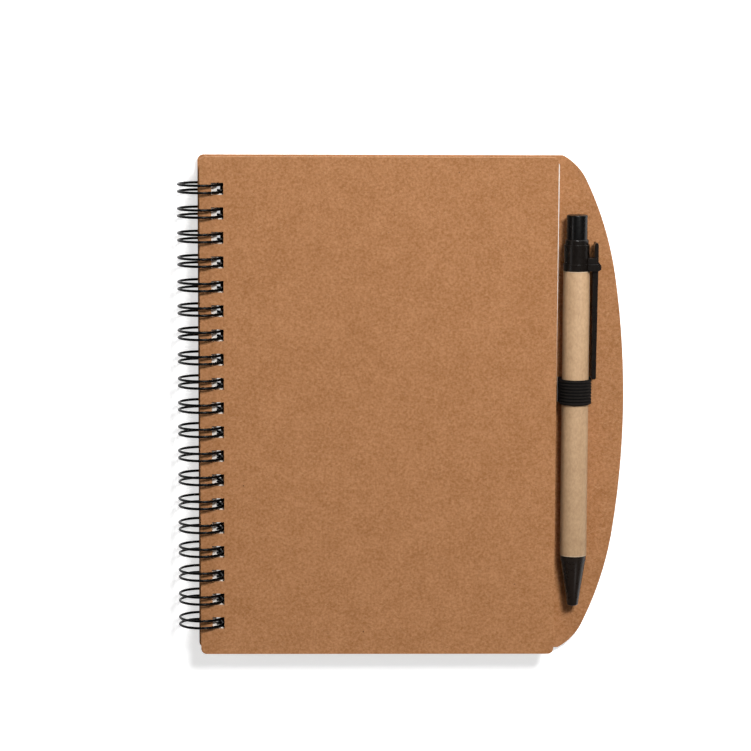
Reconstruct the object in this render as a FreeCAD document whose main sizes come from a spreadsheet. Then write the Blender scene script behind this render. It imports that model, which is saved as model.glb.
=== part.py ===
"""Wire-bound notebook with kraft board covers and a paper-barrelled pen in an elastic loop.

Millimetres, +Z up. The notebook lies on its back cover, its binding on the left along Y. The origin
is at the middle of its footprint, on the surface that it lies on. Every piece is first placed from
the axis of the wire rings, which runs along Y, and then shifted to that origin.
"""
import FreeCAD, Part
import math
import os
import re
import Sketcher

V = FreeCAD.Vector

SIZES = [
    # covers and pages
    ("cover_height", 174.5, "covers along the binding"),
    ("cover_width", 123.6, "front cover, binding edge to free edge"),
    ("board_thickness", 1.4, "kraft board of both covers"),
    ("cover_corner", 2.0, "rounded corners of both covers"),
    ("front_left", -0.1, "front cover's binding edge from the ring axis"),
    ("rear_left", -1.5, "rear cover's binding edge from the ring axis"),
    ("rear_drop", 5.3, "top of the rear cover below the ring axis"),
    ("page_thickness", 9.0, "all the sheets together"),
    ("page_left", 0.6, "lowest sheet's binding edge from the ring axis"),
    ("page_width", 122.0, "sheets, binding edge to free edge"),
    ("page_inset", 0.2, "sheets inside the covers at the upper and lower edge"),
    ("page_corner", 2.0, "rounded corners of the sheets"),
    ("page_lean", 1.2, "how far the top sheet lies to the right of the lowest"),
    # flap of the rear cover beside the pen
    ("flap_reach", 147.9, "crown of the flap from the ring axis"),
    ("crown_radius", 301.0, "long gentle curve of the flap"),
    ("crown_drop", 42.0, "crown curve ends this far below the cover's top edge"),
    ("shoulder_radius", 116.5, "curve between crown and corner"),
    ("shoulder_drop", 8.5, "shoulder curve ends this far below the cover's top edge"),
    ("tip_radius", 19.0, "curve that meets the cover's top edge"),
    # punched holes and wire binding
    ("loop_count", 19, "loops and holes"),
    ("loop_pitch", 8.467, "three holes to the inch"),
    ("hole_size", 4.2, "square holes"),
    ("hole_margin", 4.0, "binding edge to hole"),
    ("ring_radius", 7.65, "ring axis to the middle of the wire"),
    ("wire_size", 0.9, "diameter of the binding wire"),
    ("wire_flats", 6, "flats that stand for the wire's round section"),
    ("ring_step", 23.0, "largest turn between two straight stretches of a ring, degrees"),
    ("bend_step", 45.0, "the same in the small bends, degrees"),
    ("wire_gap", 2.5, "between the two wires of one loop, middle to middle"),
    ("bend_radius", 1.2, "bends between a loop and the straight spine"),
    ("tip_turn", 27.3, "degrees from the spine side to where the loop's round tip starts"),
    # pen
    ("pen_offset", 130.5, "pen axis from the ring axis"),
    ("barrel_size", 9.3, "outer diameter of the paper barrel"),
    ("barrel_wall", 0.6, "wound paper"),
    ("barrel_length", 100.5, "paper barrel"),
    ("pen_rest", 0.2, "pen above the rear cover"),
    ("cone_length", 18.0, "tip cone below the barrel"),
    ("cone_collar", 1.9, "straight upper end of the cone"),
    ("cone_top", 8.9, "diameter of the cone at the barrel"),
    ("cone_end", 3.9, "diameter of the cone's mouth"),
    ("cone_bore", 2.6, "mouth for the refill's point"),
    ("spring_seat", 7.5, "from the cone's mouth to the step that the spring stands on"),
    ("spring_bore", 4.8, "chamber for the spring"),
    ("spigot_length", 8.0, "plug of the cone inside the barrel"),
    ("press_gap", 0.02, "between the barrel and what is pushed into it"),
    ("collar_length", 10.9, "cap above the barrel"),
    ("collar_top", 8.2, "diameter of the narrow ring at the cap's upper end"),
    ("collar_ring", 1.8, "narrow ring, along the pen"),
    ("collar_low", 9.4, "diameter of the cap above its flange"),
    ("collar_edge", 0.3, "chamfer of the ring and taper below it"),
    ("flange_size", 9.6, "diameter of the flange on the barrel's end"),
    ("flange_length", 2.4, "flange of the cap"),
    ("sleeve_length", 26.0, "cap's sleeve inside the barrel"),
    ("button_size", 7.25, "push button"),
    ("button_length", 8.5, "button standing out of the cap at rest"),
    ("button_dome", 0.25, "chamfered upper edge of the button"),
    ("button_play", 0.06, "gap all round the button"),
    ("button_skirt", 20.0, "button inside the cap at rest"),
    ("button_wall", 1.1, "wall of the button's skirt"),
    ("button_travel", 6.0, "full push"),
    ("lug_length", 2.6, "guide lugs of the button"),
    ("lug_width", 1.3, "guide lugs of the button"),
    ("lug_height", 0.25, "guide lugs of the button"),
    ("lug_count", 3, "guide lugs and cam ribs"),
    # clip
    ("clip_gap", 0.8, "barrel to the clip's arm"),
    ("clip_thickness", 1.9, "clip's arm at its root, away from the barrel"),
    ("clip_slim", 0.35, "how much thinner the arm is at its free end"),
    ("clip_width", 5.0, "clip's arm, across"),
    ("clip_length", 37.9, "arm beside the barrel"),
    ("clip_rest", 0.05, "clip's free end above the elastic"),
    ("post_length", 9.8, "from the barrel's end to the clip's upper end"),
    ("clip_round", 0.6, "rounded ends of the clip"),
    ("post_step", 0.6, "post stands back from the arm's inner face"),
    ("post_thickness", 1.35, "post above the bridge"),
    ("knob_size", 2.0, "knob on the clip's outer face, along the pen"),
    ("knob_height", 1.05, "knob on the clip's outer face"),
    ("knob_slant", 1.2, "slope from the knob up to the post, along the pen"),
    ("bridge_height", 2.1, "bridge from cap to clip above the flange, along the pen"),
    ("bridge_width", 7.2, "bridge from cap to clip, across"),
    # refill
    ("refill_size", 3.0, "ink tube"),
    ("refill_bore", 2.0, "ink tube"),
    ("refill_shoulder", 3.9, "collar that the spring pushes against"),
    ("shoulder_length", 1.2, "collar that the spring pushes against"),
    ("point_inset", 1.5, "point inside the cone's mouth at rest"),
    ("point_length", 20.0, "metal point"),
    ("point_size", 2.3, "metal point"),
    ("point_nose", 2.4, "taper of the metal point"),
    ("ball_size", 0.8, "end of the metal point"),
    ("point_socket", 3.0, "metal point inside the ink tube"),
    ("rotor_size", 6.0, "cam rotor"),
    ("rotor_length", 6.0, "cam rotor"),
    ("rotor_stem", 4.2, "stem of the rotor inside the button"),
    ("rotor_rib", 0.5, "ribs on the rotor"),
    ("rotor_socket", 2.5, "ink tube inside the rotor"),
    ("spring_wire", 0.4, "spring"),
    ("spring_coil", 3.9, "spring, middle to middle of the wire"),
    ("spring_pitch", 2.4, "spring"),
    # elastic loop
    ("band_width", 8.8, "elastic, along the pen"),
    ("band_middle", 5.25, "elastic from the middle of the notebook"),
    ("band_thickness", 0.95, "elastic"),
    ("band_gap", 0.12, "elastic to barrel"),
    ("slot_gap", 0.1, "elastic in its slots"),
    ("band_under", 0.05, "elastic below the rear cover"),
    ("band_corner", 0.5, "inner bends of the elastic below the cover"),
]


def cells(text):
    """Spell a formula of size names as the sheet's own."""
    return re.sub(r"\b[a-z]+(?:_[a-z]+)+\b", lambda found: "Sizes." + found.group(), text)


AXIS_X = "(-(flap_reach - ring_radius - wire_size / 2) / 2)"
AXIS_Z = "(sqrt(ring_radius * ring_radius + bend_radius * bend_radius) + wire_size / 2)"
PEN_X = "(" + AXIS_X + " + pen_offset)"
PEN_Z = "(" + AXIS_Z + " - rear_drop + pen_rest + barrel_size / 2)"

doc = FreeCAD.newDocument("notebook")
sheet = doc.addObject("Spreadsheet::Sheet", "Sizes")
for row, (alias, number, note) in enumerate(SIZES, 1):
    sheet.set(f"A{row}", alias)
    sheet.set(f"B{row}", str(number))
    sheet.set(f"C{row}", note)
    sheet.setAlias(f"B{row}", alias)
doc.recompute()


def value(text):
    """Work out a formula of size names in millimetres or degrees."""
    return float(sheet.evalExpression(cells(text)))


def bind(thing, **formulas):
    for name, text in formulas.items():
        thing.setExpression(name, cells(text))


def new_body(label, x=AXIS_X, y="0", z=AXIS_Z):
    """Start a body whose own origin lies at the given place of the notebook."""
    body = doc.addObject("PartDesign::Body", label)
    body.Label = label
    for axis, text in zip("xyz", (x, y, z)):
        body.setExpression("Placement.Base." + axis, cells(text))
    return body


def origin_plane(body, role):
    return next(item for item in body.Origin.OriginFeatures if item.Role == role)


def new_sketch(body, name, role="XY_Plane", height="0"):
    """Attach a sketch to one of the body's planes, raised by a formula."""
    sketch = body.newObject("Sketcher::SketchObject", name)
    sketch.AttachmentSupport = (origin_plane(body, role), "")
    sketch.MapMode = "FlatFace"
    sketch.setExpression("AttachmentOffset.Base.z", cells(height))
    return sketch


def limit(sketch, kind, text, *where):
    """Add a dimension that follows a formula."""
    index = sketch.addConstraint(Sketcher.Constraint(kind, *where, value(text)))
    sketch.setExpression(f"Constraints[{index}]", cells(text))


def polygon(sketch, corners):
    """Draw a closed outline whose corners follow pairs of formulas."""
    points = [V(value(x), value(y), 0) for x, y in corners]
    first = len(sketch.Geometry)
    count = len(points)
    for i, point in enumerate(points):
        sketch.addGeometry(Part.LineSegment(point, points[(i + 1) % count]))
    for i, (x, y) in enumerate(corners):
        sketch.addConstraint(Sketcher.Constraint("Coincident", first + i, 2, first + (i + 1) % count, 1))
        limit(sketch, "DistanceX", x, -1, 1, first + i, 1)
        limit(sketch, "DistanceY", y, -1, 1, first + i, 1)


def rounded_box(sketch, left, width, bottom, height, radius):
    """Draw a rectangle with four round corners from formulas."""
    x0, y0, r = value(left), value(bottom), value(radius)
    x1, y1 = x0 + value(width), y0 + value(height)
    first = len(sketch.Geometry)
    ends = [(x0 + r, y0, x1 - r, y0), (x1, y0 + r, x1, y1 - r),
            (x1 - r, y1, x0 + r, y1), (x0, y1 - r, x0, y0 + r)]
    centres = [(x1 - r, y0 + r), (x1 - r, y1 - r), (x0 + r, y1 - r), (x0 + r, y0 + r)]
    for side, (ax, ay, bx, by) in enumerate(ends):
        sketch.addGeometry(Part.LineSegment(V(ax, ay, 0), V(bx, by, 0)))
        circle = Part.Circle(V(*centres[side], 0), V(0, 0, 1), r)
        start = math.radians(-90 + 90 * side)
        sketch.addGeometry(Part.ArcOfCircle(circle, start, start + math.pi / 2))
    for side in range(4):
        line, arc, after = first + 2 * side, first + 2 * side + 1, first + (2 * side + 2) % 8
        sketch.addConstraint(Sketcher.Constraint("Tangent", line, 2, arc, 1))
        sketch.addConstraint(Sketcher.Constraint("Tangent", arc, 2, after, 1))
        sketch.addConstraint(Sketcher.Constraint("Horizontal" if side % 2 == 0 else "Vertical", line))
        limit(sketch, "Radius", radius, arc)
    limit(sketch, "DistanceX", left, -1, 1, first + 6, 1)
    limit(sketch, "DistanceX", f"{left} + {width}", -1, 1, first + 2, 1)
    limit(sketch, "DistanceY", bottom, -1, 1, first, 1)
    limit(sketch, "DistanceY", f"{bottom} + {height}", -1, 1, first + 4, 1)


def pad(body, sketch, length, midplane=False):
    feature = body.newObject("PartDesign::Pad", sketch.Name + "Pad")
    feature.Profile = sketch
    feature.Midplane = midplane
    bind(feature, Length=length)
    return feature


def revolve(body, sketch):
    """Turn a profile once round the sketch's upright axis."""
    feature = body.newObject("PartDesign::Revolution", sketch.Name + "Turn")
    feature.Profile = sketch
    feature.ReferenceAxis = (sketch, ["V_Axis"])
    feature.Angle = 360
    return feature


def cut_through(body, sketch, depth):
    """Cut a profile into the body, upward from its plane, and check that it took material away."""
    doc.recompute()
    before = body.Shape.Volume
    feature = body.newObject("PartDesign::Pocket", sketch.Name + "Cut")
    feature.Profile = sketch
    feature.Reversed = True
    bind(feature, Length=depth)
    doc.recompute()
    if body.Shape.Volume > before - 1e-6:
        raise RuntimeError(body.Label + ": the cut takes nothing away")
    return feature


def repeat_holes(body, feature, sketch):
    """Repeat the first hole down the binding edge."""
    pattern = body.newObject("PartDesign::LinearPattern", body.Label + "_holes")
    pattern.Originals = [feature]
    pattern.Direction = (sketch, ["V_Axis"])
    bind(pattern, Length="loop_pitch * (loop_count - 1)", Occurrences="loop_count")
    body.Tip = pattern
    doc.recompute()


def punch_holes(body, left, depth, lean=None):
    """Punch the square holes through a cover or the pages."""
    sketch = new_sketch(body, body.Label + "_hole")
    lowest = "(-loop_pitch * (loop_count - 1) / 2 - hole_size / 2)"
    near, far = f"({left} + hole_margin)", f"({left} + hole_margin + hole_size)"
    highest = f"({lowest} + hole_size)"
    polygon(sketch, [(near, lowest), (far, lowest), (far, highest), (near, highest)])
    hole = cut_through(body, sketch, depth)
    if lean:
        lean_along(hole, lean, depth, -1)
        doc.recompute()
    repeat_holes(body, hole, sketch)


def lean_along(feature, lean, height, sign=1):
    """Slant a pad or a cut to the right by a formula over its height."""
    feature.UseCustomVector = True
    feature.AlongSketchNormal = True
    slant = value(lean) / value(height)
    feature.Direction = V(sign * slant, 0, sign)
    feature.setExpression("Direction.x", cells(f"{sign} * {lean} / ({height})"))


def front_cover():
    """Plain kraft board with round corners, punched along the binding."""
    body = new_body("front_cover", z=f"{AXIS_Z} - rear_drop + page_thickness")
    sketch = new_sketch(body, "front_outline")
    rounded_box(sketch, "front_left", "cover_width", "(-cover_height / 2)", "cover_height", "cover_corner")
    pad(body, sketch, "board_thickness")
    punch_holes(body, "front_left", "board_thickness")


def page_block():
    """All the sheets as one block, its free edge leaning out like a bound block that lies on its back."""
    body = new_body("page_block", z=f"{AXIS_Z} - rear_drop")
    sketch = new_sketch(body, "page_outline")
    rounded_box(sketch, "page_left", "page_width", "(page_inset - cover_height / 2)",
                "(cover_height - 2 * page_inset)", "page_corner")
    block = pad(body, sketch, "page_thickness")
    lean_along(block, "page_lean", "page_thickness")
    punch_holes(body, "page_left", "page_thickness", "page_lean")


def flap_outline(sketch):
    """Draw the rear cover: round corners at the binding, and a bowed flap of five tangent arcs."""
    top = "(cover_height / 2)"
    half, left, corner = value(top), value("rear_left"), value("cover_corner")
    crown, shoulder, tip = value("crown_radius"), value("shoulder_radius"), value("tip_radius")
    crown_y, shoulder_y = half - value("crown_drop"), half - value("shoulder_drop")
    crown_x = value("flap_reach - crown_radius")
    turn_a = math.asin(crown_y / crown)
    mid = V(crown_x, 0, 0) + (crown - shoulder) * V(math.cos(turn_a), math.sin(turn_a), 0)
    turn_b = math.asin((shoulder_y - mid.y) / shoulder)
    end = mid + (shoulder - tip) * V(math.cos(turn_b), math.sin(turn_b), 0)
    turn_c = math.asin((half - end.y) / tip)
    meet_x = end.x + tip * math.cos(turn_c)

    def arc(centre, radius, start, stop):
        return Part.ArcOfCircle(Part.Circle(centre, V(0, 0, 1), radius), start, stop)

    def low(point):
        return V(point.x, -point.y, 0)

    quarter = math.pi / 2
    sketch.addGeometry([
        Part.LineSegment(V(left + corner, -half, 0), V(meet_x, -half, 0)),
        arc(low(end), tip, -turn_c, -turn_b),
        arc(low(mid), shoulder, -turn_b, -turn_a),
        arc(V(crown_x, 0, 0), crown, -turn_a, turn_a),
        arc(mid, shoulder, turn_a, turn_b),
        arc(end, tip, turn_b, turn_c),
        Part.LineSegment(V(meet_x, half, 0), V(left + corner, half, 0)),
        arc(V(left + corner, half - corner, 0), corner, quarter, 2 * quarter),
        Part.LineSegment(V(left, half - corner, 0), V(left, corner - half, 0)),
        arc(V(left + corner, corner - half, 0), corner, 2 * quarter, 3 * quarter),
    ])
    for one, two in ((1, 2), (2, 3), (3, 4), (4, 5), (6, 7), (7, 8), (8, 9), (9, 0)):
        sketch.addConstraint(Sketcher.Constraint("Tangent", one, 2, two, 1))
    for one, two in ((0, 1), (5, 6)):
        sketch.addConstraint(Sketcher.Constraint("Coincident", one, 2, two, 1))
    sketch.addConstraint(Sketcher.Constraint("Horizontal", 0))
    sketch.addConstraint(Sketcher.Constraint("Horizontal", 6))
    sketch.addConstraint(Sketcher.Constraint("Vertical", 8))
    for name, arcs in (("tip_radius", (1, 5)), ("shoulder_radius", (2, 4)), ("crown_radius", (3,)),
                       ("cover_corner", (7, 9))):
        for index in arcs:
            limit(sketch, "Radius", name, index)
    limit(sketch, "DistanceX", "(flap_reach - crown_radius)", -1, 1, 3, 3)
    limit(sketch, "DistanceY", "0", -1, 1, 3, 3)
    limit(sketch, "DistanceY", f"({top} - crown_drop)", -1, 1, 3, 2)
    limit(sketch, "DistanceY", f"(crown_drop - {top})", -1, 1, 3, 1)
    limit(sketch, "DistanceY", f"({top} - shoulder_drop)", -1, 1, 4, 2)
    limit(sketch, "DistanceY", f"(shoulder_drop - {top})", -1, 1, 2, 1)
    limit(sketch, "DistanceY", top, -1, 1, 6, 1)
    limit(sketch, "DistanceY", f"(-{top})", -1, 1, 0, 1)
    limit(sketch, "DistanceX", "rear_left", -1, 1, 8, 1)


def rear_cover():
    """Kraft board like the front, with a bowed flap for the pen and two slots for its elastic."""
    body = new_body("rear_cover", z=f"{AXIS_Z} - rear_drop - board_thickness")
    sketch = new_sketch(body, "rear_outline")
    flap_outline(sketch)
    pad(body, sketch, "board_thickness")
    slots = new_sketch(body, "band_slots")
    inner = "(barrel_size / 2 + band_gap - band_corner)"
    outer = "(barrel_size / 2 + band_gap + band_thickness + slot_gap)"
    low = "(band_middle - band_width / 2 - slot_gap)"
    high = "(band_middle + band_width / 2 + slot_gap)"
    for near, far in ((f"pen_offset - {outer}", f"pen_offset - {inner}"),
                      (f"pen_offset + {inner}", f"pen_offset + {outer}")):
        polygon(slots, [(near, low), (far, low), (far, high), (near, high)])
    cut_through(body, slots, "board_thickness")
    punch_holes(body, "rear_left", "board_thickness")


def out(angle):
    """Direction from the ring axis at an angle in the XZ plane, in degrees."""
    return V(math.cos(math.radians(angle)), 0, math.sin(math.radians(angle)))


def arc_points(centre, first, second, sweep, step):
    """Points of an arc that turns from centre + first towards centre + second, without its start."""
    count = math.ceil(sweep / step)
    turns = [math.radians(sweep * i / count) for i in range(1, count + 1)]
    return [centre + first * math.cos(turn) + second * math.sin(turn) for turn in turns]


def wire_route():
    """Corners of the wire's middle line: a straight spine, and for each hole a loop up, round and back."""
    radius, bend, step = value("ring_radius"), value("bend_radius"), value("bend_step")
    gap, pitch, count = value("wire_gap"), value("loop_pitch"), int(value("loop_count"))
    start = 270 - math.degrees(math.atan2(bend, radius))
    stop = value("tip_turn") - 90
    run = pitch - gap - 2 * bend
    down = V(0, -1, 0)
    foot, spine = out(start) * radius, out(start + 90) * bend
    top = pitch * (count - 1) / 2 + gap / 2 + bend
    stages = (start, 180, 90, 0, stop)
    ring = [out(start) * radius]
    for first, last in zip(stages, stages[1:]):
        ahead = out(first - 90) * radius
        ring += arc_points(V(0, 0, 0), out(first) * radius, ahead, first - last, value("ring_step"))
    points = [foot + spine + V(0, top + run / 2, 0), foot + spine + V(0, top, 0)]
    for index in range(count):
        upper = V(0, top - bend - index * pitch, 0)
        lower = upper + down * gap
        middle = (upper + lower) * 0.5
        points += arc_points(foot + upper - down * bend, spine, down * bend, 90, step)
        points += [point + upper for point in ring[1:]]
        points += arc_points(ring[-1] + middle, down * (-gap / 2), out(stop - 90) * (gap / 2), 180, step)
        points += [point + lower for point in reversed(ring[:-1])]
        points += arc_points(foot + lower + down * bend, down * -bend, spine, 90, step)
        points.append(points[-1] + down * (run if index < count - 1 else run / 2))
    return points


def bent_rod(points, thick, flats):
    """Carry a section of a few flats along straight stretches that are mitred where they meet."""
    corners = [points[0] + out(270 + 360 * i / flats) * (thick / 2) for i in range(flats)]
    faces = [Part.Face(Part.makePolygon(corners + corners[:1]))]
    ways = [(b - a).normalize() for a, b in zip(points, points[1:])]
    for i, way in enumerate(ways):
        mitre = way + ways[min(i + 1, len(ways) - 1)]
        ahead = [p + way * ((points[i + 1] - p).dot(mitre) / way.dot(mitre)) for p in corners]
        for j in range(flats):
            k = (j + 1) % flats
            side = [corners[j], corners[k], ahead[k], ahead[j], corners[j]]
            faces.append(Part.Face(Part.makePolygon(side)))
        corners = ahead
    faces.append(Part.Face(Part.makePolygon(corners + corners[:1])))
    shell = Part.makeShell(faces)
    shell.sewShape(1e-5)
    solid = Part.makeSolid(shell)
    if solid.Volume < 0:
        solid.reverse()
    return solid


def binding_wire():
    """One wire bent into twin loops: spine below, loops up through the holes, round tips beside the spine."""
    feature = doc.addObject("Part::Feature", "binding_wire")
    feature.Label = "binding_wire"
    feature.Shape = bent_rod(wire_route(), value("wire_size"), int(value("wire_flats")))
    feature.Placement = FreeCAD.Placement(V(value(AXIS_X), 0, value(AXIS_Z)), FreeCAD.Rotation())


def pen_loop():
    """Elastic band round the barrel, through both slots and closed below the cover."""
    body = new_body("pen_loop", x=PEN_X, y="band_middle + band_width / 2", z=PEN_Z)
    sketch = new_sketch(body, "band_section", "XZ_Plane")
    inner = "(barrel_size / 2 + band_gap)"
    floor = "(-barrel_size / 2 - pen_rest - board_thickness - band_under)"
    for radius, corner, bottom in ((inner, "band_corner", floor),
                                   (f"({inner} + band_thickness)", "(band_corner + band_thickness)",
                                    f"({floor} - band_thickness)")):
        band_line(sketch, radius, corner, bottom)
    pad(body, sketch, "band_width")


def band_line(sketch, radius, corner, bottom):
    """Draw one side of the elastic: a half circle above, straight sides, and two bends below."""
    r, c, low = value(radius), value(corner), value(bottom)
    first = len(sketch.Geometry)
    quarter = math.pi / 2

    def arc(x, y, size, start, stop):
        return Part.ArcOfCircle(Part.Circle(V(x, y, 0), V(0, 0, 1), size), start, stop)

    sketch.addGeometry([
        arc(0, 0, r, 0, 2 * quarter),
        Part.LineSegment(V(-r, 0, 0), V(-r, low + c, 0)),
        arc(c - r, low + c, c, 2 * quarter, 3 * quarter),
        Part.LineSegment(V(c - r, low, 0), V(r - c, low, 0)),
        arc(r - c, low + c, c, 3 * quarter, 4 * quarter),
        Part.LineSegment(V(r, low + c, 0), V(r, 0, 0)),
    ])
    for i in range(6):
        sketch.addConstraint(Sketcher.Constraint("Tangent", first + i, 2, first + (i + 1) % 6, 1))
    sketch.addConstraint(Sketcher.Constraint("Coincident", first, 3, -1, 1))
    sketch.addConstraint(Sketcher.Constraint("Vertical", first + 1))
    sketch.addConstraint(Sketcher.Constraint("Vertical", first + 5))
    limit(sketch, "Radius", radius, first)
    limit(sketch, "Radius", corner, first + 2)
    limit(sketch, "Radius", corner, first + 4)
    limit(sketch, "DistanceY", bottom, -1, 1, first + 3, 1)


# heights along the pen, from the middle of the notebook; its clip stands on the elastic
CLIP_END = "(band_middle + band_width / 2 + clip_rest)"
BARREL_TOP = "(" + CLIP_END + " + clip_length)"
BARREL_LOW = "(" + BARREL_TOP + " - barrel_length)"
TIP_END = "(" + BARREL_LOW + " - cone_length)"
CAP_TOP = "(" + BARREL_TOP + " + collar_length)"
CLIP_RISE = "(" + BARREL_TOP + " + post_length)"
BORE = "(button_size / 2 + button_play)"
INSIDE = "(barrel_size / 2 - barrel_wall)"
BUTTON_LOW = "(" + CAP_TOP + " - button_skirt)"
LUG_TOP = "(" + BUTTON_LOW + " + lug_length)"
POINT_END = "(" + TIP_END + " + point_inset)"
SEAT = "(" + TIP_END + " + spring_seat)"


def turned(label, corners):
    """Make a round piece of the pen from its half section."""
    body = new_body(label, x=PEN_X, z=PEN_Z)
    sketch = new_sketch(body, label + "_section")
    polygon(sketch, corners)
    revolve(body, sketch)
    return body


def pen_barrel():
    """Tube of wound kraft paper."""
    outside = "(barrel_size / 2)"
    turned("pen_barrel", [
        (INSIDE, BARREL_LOW), (outside, BARREL_LOW), (outside, BARREL_TOP), (INSIDE, BARREL_TOP)])


def pen_tip():
    """Moulded cone with a plug in the barrel and a chamber for the spring."""
    plug = f"({INSIDE} - press_gap)"
    top = f"({BARREL_LOW} + spigot_length)"
    chamber = "(spring_bore / 2)"
    turned("pen_tip", [
        ("(cone_bore / 2)", TIP_END), ("(cone_end / 2)", TIP_END),
        ("(cone_top / 2)", f"({BARREL_LOW} - cone_collar)"), ("(cone_top / 2)", BARREL_LOW),
        (plug, BARREL_LOW), (plug, top), (chamber, top), (chamber, SEAT), ("(cone_bore / 2)", SEAT)])


def pen_clip_cap():
    """Cap with flange, sleeve and clip in one moulding."""
    sleeve = f"({INSIDE} - press_gap)"
    low = f"({BARREL_TOP} - sleeve_length)"
    flange = "(flange_size / 2)"
    shelf = f"({BARREL_TOP} + flange_length)"
    ring = f"({CAP_TOP} - collar_ring)"
    body = turned("pen_clip_cap", [
        (BORE, low), (sleeve, low), (sleeve, BARREL_TOP), (flange, BARREL_TOP), (flange, shelf),
        ("(collar_low / 2)", shelf), ("(collar_low / 2 - collar_edge)", ring), ("(collar_top / 2)", ring),
        ("(collar_top / 2)", f"({CAP_TOP} - collar_edge)"), ("(collar_top / 2 - collar_edge)", CAP_TOP),
        (BORE, CAP_TOP)])
    clip_profile(body)
    clip_bridge(body)
    slot = new_sketch(body, "lug_slot", "YZ_Plane", BORE + " - button_play")
    side = "(lug_width / 2 + button_play)"
    slot_low = f"({BUTTON_LOW} - button_travel - button_play)"
    slot_top = f"({LUG_TOP} + button_play)"
    polygon(slot, [(slot_low, f"(-{side})"), (slot_top, f"(-{side})"), (slot_top, side), (slot_low, side)])
    cut = cut_through(body, slot, "barrel_wall + lug_height")
    around(body, cut, "lug_slots")


def around(body, feature, name):
    """Repeat a feature evenly round the pen's axis."""
    pattern = body.newObject("PartDesign::PolarPattern", name)
    pattern.Originals = [feature]
    pattern.Axis = (origin_plane(body, "Y_Axis"), [""])
    pattern.Angle = 360
    bind(pattern, Occurrences="lug_count")
    body.Tip = pattern
    doc.recompute()


def clip_profile(body):
    """Draw the clip from the side that the notebook shows: post above, arm below, knob outside."""
    sketch = new_sketch(body, "clip_side")
    inner = "(barrel_size / 2 + clip_gap)"
    outer = f"({inner} + clip_thickness)"
    slim = f"({outer} - clip_slim)"
    post = f"({inner} + post_step)"
    back = f"({post} + post_thickness)"
    knob = f"({outer} + knob_height)"
    polygon(sketch, [
        (f"({inner} + clip_round)", CLIP_END), (f"({slim} - clip_round)", CLIP_END),
        (slim, f"({CLIP_END} + clip_round)"), (outer, BARREL_TOP), (knob, f"({BARREL_TOP} + knob_size / 4)"),
        (knob, f"({BARREL_TOP} + knob_size)"), (back, f"({BARREL_TOP} + knob_size + knob_slant)"),
        (back, f"({CLIP_RISE} - clip_round)"), (f"({back} - clip_round)", CLIP_RISE),
        (f"({post} + clip_round)", CLIP_RISE), (post, f"({CLIP_RISE} - clip_round)"),
        (post, f"({BARREL_TOP} + flange_length)"), (inner, BARREL_TOP),
        (inner, f"({CLIP_END} + clip_round)")])
    pad(body, sketch, "clip_width", midplane=True)


def clip_bridge(body):
    """Join the clip to the cap with the flange's web and the bridge that stands on it."""
    reach = "(barrel_size / 2 + clip_gap + post_step + clip_round)"
    near = "(collar_top / 2)"
    bridge = new_sketch(body, "bridge_side")
    high = f"({BARREL_TOP} + flange_length + bridge_height)"
    polygon(bridge, [(near, BARREL_TOP), (reach, BARREL_TOP), (reach, high), (near, high)])
    pad(body, bridge, "bridge_width", midplane=True)


def push_button():
    """Hollow button with a chamfered top and guide lugs that run in the sleeve's slots."""
    side = "(button_size / 2)"
    top = f"({CAP_TOP} + button_length)"
    hollow = "(button_size / 2 - button_wall)"
    body = turned("push_button", [
        (hollow, BUTTON_LOW), (side, BUTTON_LOW), (side, f"({top} - button_dome)"),
        (f"({side} - button_dome)", top), ("0", top), ("0", CAP_TOP), (hollow, CAP_TOP)])
    sketch = new_sketch(body, "button_lug", "YZ_Plane", f"{side} - button_wall / 2")
    half = "(lug_width / 2)"
    polygon(sketch, [
        (BUTTON_LOW, f"(-{half})"), (LUG_TOP, f"(-{half})"), (LUG_TOP, half), (BUTTON_LOW, half)])
    lug = pad(body, sketch, "button_wall / 2 + lug_height")
    doc.recompute()
    around(body, lug, "button_lugs")


def cam_rotor():
    """Stem inside the button, a ribbed drum below it, and a socket for the ink tube."""
    stem, drum = "(rotor_stem / 2)", "(rotor_size / 2)"
    socket = "(refill_size / 2 + press_gap)"
    low = f"({BUTTON_LOW} - rotor_length)"
    high = f"({BUTTON_LOW} - button_play)"
    top = f"({BUTTON_LOW} + button_skirt / 2)"
    body = turned("cam_rotor", [
        (socket, low), (drum, low), (drum, high), (stem, high), (stem, top), ("0", top),
        ("0", f"({low} + rotor_socket)"), (socket, f"({low} + rotor_socket)")])
    sketch = new_sketch(body, "rotor_rib", "YZ_Plane", f"{drum} - rotor_rib")
    half = "(lug_width / 2)"
    polygon(sketch, [(low, f"(-{half})"), (high, f"(-{half})"), (high, half), (low, half)])
    rib = pad(body, sketch, "2 * rotor_rib")
    doc.recompute()
    around(body, rib, "rotor_ribs")


def refill_tube():
    """Plastic ink tube with the collar that the spring pushes against."""
    outside, bore = "(refill_size / 2)", "(refill_bore / 2)"
    low = f"({POINT_END} + point_length)"
    high = f"({BUTTON_LOW} - rotor_length + rotor_socket - press_gap)"
    turned("refill_tube", [
        (bore, low), ("(refill_shoulder / 2)", low), ("(refill_shoulder / 2)", f"({low} + shoulder_length)"),
        (outside, f"({low} + shoulder_length)"), (outside, high), (bore, high)])


def refill_point():
    """Metal point, its tail pushed into the ink tube."""
    body, ball = "(point_size / 2)", "(ball_size / 2)"
    low = f"({POINT_END} + point_length - press_gap)"
    tail = f"({POINT_END} + point_length + point_socket)"
    neck = "(refill_bore / 2 - press_gap)"
    turned("refill_point", [
        ("0", POINT_END), (ball, POINT_END), (body, f"({POINT_END} + point_nose)"), (body, low),
        (neck, low), (neck, tail), ("0", tail)])


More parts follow.
